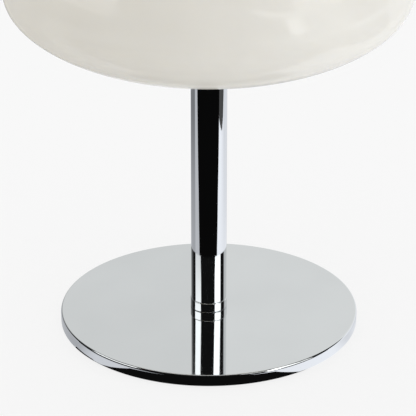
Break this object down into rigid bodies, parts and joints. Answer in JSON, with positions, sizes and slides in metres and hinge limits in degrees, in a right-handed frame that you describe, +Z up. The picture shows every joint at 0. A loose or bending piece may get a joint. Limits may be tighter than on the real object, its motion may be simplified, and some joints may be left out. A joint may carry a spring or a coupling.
{
  "type": "glass table lamp",
  "caption": "Table lamp with a glossy opal glass shade that lifts off, a screw-in bulb inside, a chromed tube stem and a round mirror-chrome base plate.",
  "frame": {"origin": "centre of the base's underside, on the table", "axes": "+Z up along the stem, -Y towards the viewer of the picture, +Y towards the cord gland"},
  "size_m": [0.274, 0.274, 0.3259],
  "materials": {
    "mirror_chrome": "polished mirror chrome plate",
    "opal_glass": "glossy opal white glass",
    "black_foam": "soft matt foam",
    "black_nylon": "moulded nylon",
    "zinc_steel": "zinc plated",
    "brass": "machined brass",
    "clear_silicone": "translucent silicone",
    "white_holder": "moulded thermoplastic",
    "cream_ceramic": "pressed ceramic",
    "nickel_shell": "nickel plated",
    "bronze_spring": "phosphor bronze",
    "natural_nylon": "natural nylon",
    "brown_wire": "wire insulation",
    "blue_wire": "wire insulation",
    "black_glass": "black glass insulator",
    "solder_tip": "soldered",
    "white_bulb_plastic": "moulded housing",
    "frosted_globe": "frosted diffuser",
    "white_board": "white solder mask",
    "yellow_phosphor": "phosphor coated",
    "green_board": "green solder mask",
    "component_black": "sleeved components"
  },
  "bodies": {
    "stand": {"base_plate": "mirror_chrome", "base_pad": "black_foam", "cord_gland": "black_nylon", "foot_collar": "mirror_chrome", "foot_screws": "zinc_steel", "stem_tube": "mirror_chrome", "stem_top_plug": "zinc_steel", "threaded_nipple": "brass", "shade_gallery": "mirror_chrome", "gallery_gasket": "clear_silicone", "lock_washer": "zinc_steel", "nipple_nut": "brass", "holder_cap": "white_holder", "holder_grub_screw": "zinc_steel", "holder_skirt": "white_holder", "holder_insert": "cream_ceramic", "terminal_blocks": "brass", "terminal_screws": "zinc_steel", "screw_shell": "nickel_shell", "centre_contact": "bronze_spring", "crimp_caps": "natural_nylon", "live_wire": "brown_wire", "neutral_wire": "blue_wire"},
    "shade": {"glass_shade": "opal_glass"},
    "bulb_carrier": {"bulb_tip": "solder_tip"},
    "bulb": {"bulb_cap": "nickel_shell", "bulb_insulator": "black_glass", "bulb_housing": "white_bulb_plastic", "bulb_globe": "frosted_globe", "led_board": "white_board", "led_chips": "yellow_phosphor", "driver_board": "green_board", "driver_components": "component_black"}
  },
  "joints": [
    {"name": "shade_lift", "type": "slide", "parent": "stand", "child": "shade", "axis": [0, 0, 1], "range_m": [0, 0.13]},
    {"name": "bulb_lift", "type": "slide", "parent": "stand", "child": "bulb_carrier", "axis": [0, 0, 1], "range_m": [0, 0.01139]},
    {"name": "bulb_turn", "type": "hinge", "parent": "bulb_carrier", "child": "bulb", "pos_m": [0, 0, 0.25], "axis": [0, 0, 1], "range_deg": [0, 1440]}
  ],
  "couplings": [
    {"joint": "bulb_lift", "follows": "bulb_turn", "m_per_rad": 0.00044913}
  ]
}
